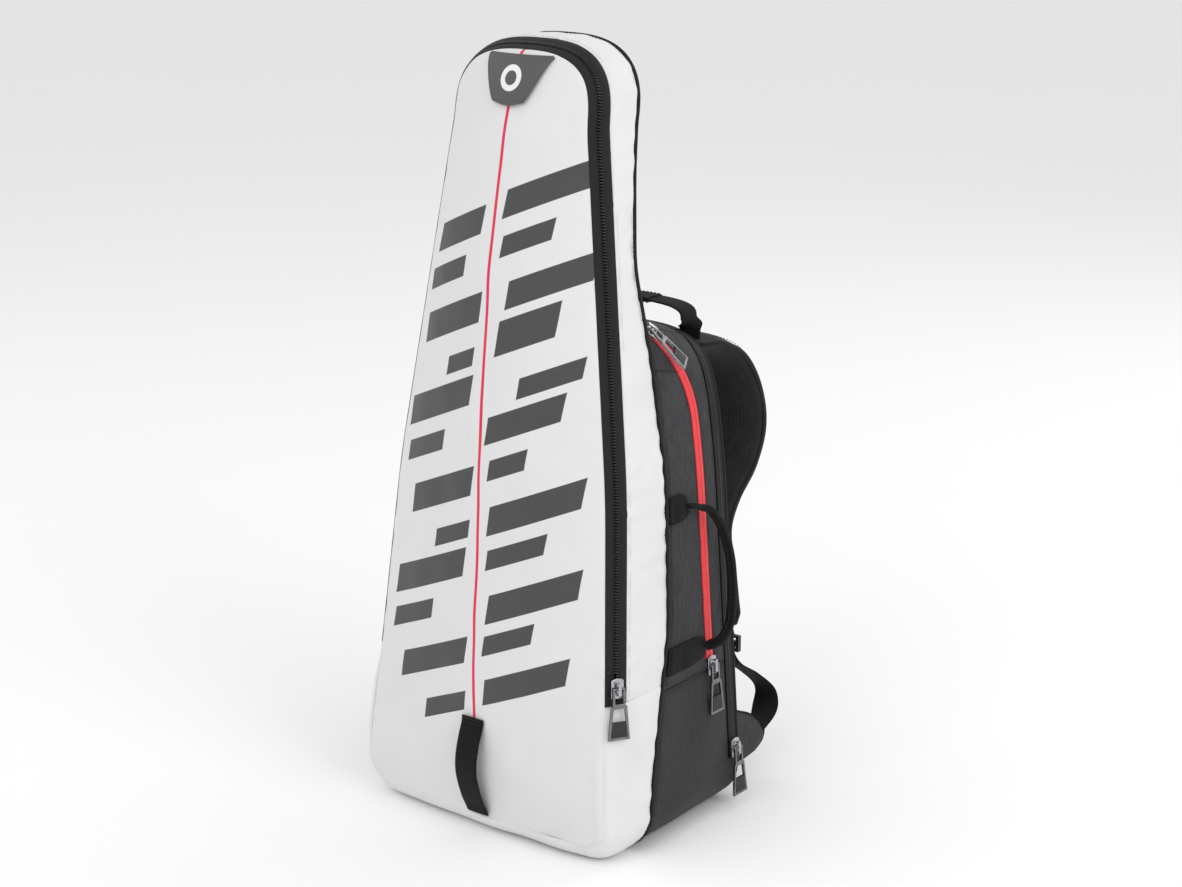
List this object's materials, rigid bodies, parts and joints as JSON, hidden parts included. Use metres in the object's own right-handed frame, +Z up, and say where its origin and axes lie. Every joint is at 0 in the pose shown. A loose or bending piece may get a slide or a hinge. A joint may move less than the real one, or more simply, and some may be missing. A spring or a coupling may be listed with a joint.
{
  "type": "racket backpack",
  "caption": "Tall white and dark grey racket backpack with a zipped front cover, a red side zip with a webbing handle and padded shoulder straps.",
  "frame": {"origin": "middle of the bag's footprint, on the ground it stands on", "axes": "+Z up, +Y from the zipped front cover back to the shoulder straps, +X to the side with the red zip and the webbing handle"},
  "size_m": [0.3068, 0.3173, 0.7106],
  "materials": {
    "white_polyester": "matt coated weave",
    "dark_polyester": "matt woven",
    "heather_padding": "heathered air mesh over foam",
    "badge_rubber": "matt moulded",
    "foam": "open-cell foam sheet",
    "board": "plain sheet",
    "black_piping": "coated cord edging",
    "black_zip": "woven zip tape with nylon coil",
    "red_zip": "coated zip tape",
    "slider_metal": "plated",
    "pull_metal": "gunmetal",
    "grip_rubber": "matt",
    "black_webbing": "ribbed webbing",
    "buckle_plastic": "moulded"
  },
  "bodies": {
    "bag": {"racket_gusset": "white_polyester", "racket_gusset_base": "white_polyester", "front_lower_panel": "white_polyester", "cover_zip_outer_tape": "black_zip", "cover_zip_ends": "black_zip", "side_zip_ends": "red_zip", "racket_back_panel": "dark_polyester", "border_piping": "black_piping", "body_gusset": "dark_polyester", "side_front_panel": "dark_polyester", "side_rear_panel": "dark_polyester", "body_base": "dark_polyester", "side_zip_rear_tape": "red_zip", "base_board": "board", "laptop_divider": "dark_polyester", "back_panel": "dark_polyester", "back_pad_left": "dark_polyester", "back_pad_right": "dark_polyester", "lumbar_pad": "dark_polyester", "rear_zip_body_tape": "black_zip", "rear_zip_panel_tape": "black_zip", "wing_left": "dark_polyester", "wing_right": "dark_polyester", "handle_anchor_upper": "black_webbing", "handle_anchor_lower": "black_webbing"},
    "cover": {"front_cover_panel": "white_polyester", "cover_foam": "foam", "cover_lining": "dark_polyester", "cover_zip_inner_tape": "black_zip", "badge_patch": "badge_rubber"},
    "cover_zip_slider": {"cover_slider": "slider_metal"},
    "cover_zip_pull": {"cover_pull": "pull_metal", "cover_pull_grip": "grip_rubber"},
    "flap": {"side_flap": "dark_polyester", "side_zip_front_tape": "red_zip"},
    "handle": {"side_handle": "black_webbing"},
    "upper_zip_slider": {"side_slider_upper": "slider_metal"},
    "upper_zip_pull": {"side_pull_upper": "pull_metal", "side_pull_upper_grip": "grip_rubber"},
    "lower_zip_slider": {"side_slider_lower": "slider_metal"},
    "lower_zip_pull": {"side_pull_lower": "pull_metal", "side_pull_lower_grip": "grip_rubber"},
    "rear_zip_slider": {"rear_slider": "slider_metal"},
    "rear_zip_pull": {"rear_pull": "pull_metal", "rear_pull_grip": "grip_rubber"},
    "haul": {"haul_loop": "black_webbing"},
    "grab": {"grab_strap": "black_webbing"},
    "strap_left": {"shoulder_strap_left": "heather_padding", "strap_webbing_left": "black_webbing", "ladder_lock_left": "buckle_plastic"},
    "strap_right": {"shoulder_strap_right": "heather_padding", "strap_webbing_right": "black_webbing", "ladder_lock_right": "buckle_plastic"}
  },
  "joints": [
    {"name": "cover_fold", "type": "hinge", "parent": "bag", "child": "cover", "pos_m": [0, -0.09765, 0.1769], "axis": [1, 0, 0], "range_deg": [0, 90]},
    {"name": "cover_zip_slide", "type": "slide", "parent": "bag", "child": "cover_zip_slider", "axis": [-0.0745, 0.0992, 0.9923], "range_m": [0, 0.15]},
    {"name": "cover_zip_pull_swing", "type": "hinge", "parent": "cover_zip_slider", "child": "cover_zip_pull", "pos_m": [0.14003, -0.06847, 0.16564], "axis": [-0.4331, -0.8995, 0.0574], "range_deg": [0, 150]},
    {"name": "upper_zip_slide", "type": "slide", "parent": "bag", "child": "upper_zip_slider", "axis": [-0.2665, -0.7717, 0.5774], "range_m": [-0.01, 0]},
    {"name": "upper_zip_pull_swing", "type": "hinge", "parent": "upper_zip_slider", "child": "upper_zip_pull", "pos_m": [0.10201, 0.0269, 0.46304], "axis": [0.452, -0.8601, -0.2365], "range_deg": [0, 120]},
    {"name": "lower_zip_slide", "type": "slide", "parent": "bag", "child": "lower_zip_slider", "axis": [-0.0742, 0, 0.9972], "range_m": [0, 0.15]},
    {"name": "lower_zip_pull_swing", "type": "hinge", "parent": "lower_zip_slider", "child": "lower_zip_pull", "pos_m": [0.14453, 0.07, 0.14643], "axis": [0, -1, 0], "range_deg": [0, 120]},
    {"name": "rear_zip_slide", "type": "slide", "parent": "bag", "child": "rear_zip_slider", "axis": [-0.0746, 0, 0.9972], "range_m": [0, 0.2]},
    {"name": "rear_zip_pull_swing", "type": "hinge", "parent": "rear_zip_slider", "child": "rear_zip_pull", "pos_m": [0.15044, 0.1015, 0.05643], "axis": [0, -1, 0], "range_deg": [0, 150]},
    {"name": "flap_fold", "type": "hinge", "parent": "bag", "child": "flap", "pos_m": [0.12688, 0.03455, 0.30128], "axis": [0.1035, 0.1284, -0.9863], "range_deg": [0, 70]},
    {"name": "handle_swing", "type": "hinge", "parent": "flap", "child": "handle", "pos_m": [0.13638, 0.04691, 0.2355], "axis": [0.0683, 0.1314, -0.989], "range_deg": [0, 28]},
    {"name": "haul_loop_swing", "type": "hinge", "parent": "bag", "child": "haul", "pos_m": [0, 0.116, 0.452], "axis": [1, 0, 0], "range_deg": [-80, 25]},
    {"name": "grab_strap_swing", "type": "hinge", "parent": "bag", "child": "grab", "pos_m": [0, -0.09968, 0.065], "axis": [0, -0.0635, 0.998], "range_deg": [-10, 10]},
    {"name": "shoulder_strap_left_swing", "type": "hinge", "parent": "bag", "child": "strap_left", "pos_m": [-0.093, 0.151, 0.24], "axis": [0.1587, -0.169, 0.9728], "range_deg": [-11, 8]},
    {"name": "shoulder_strap_right_swing", "type": "hinge", "parent": "bag", "child": "strap_right", "pos_m": [0.093, 0.151, 0.24], "axis": [0.1587, 0.169, -0.9728], "range_deg": [-11, 8]}
  ]
}
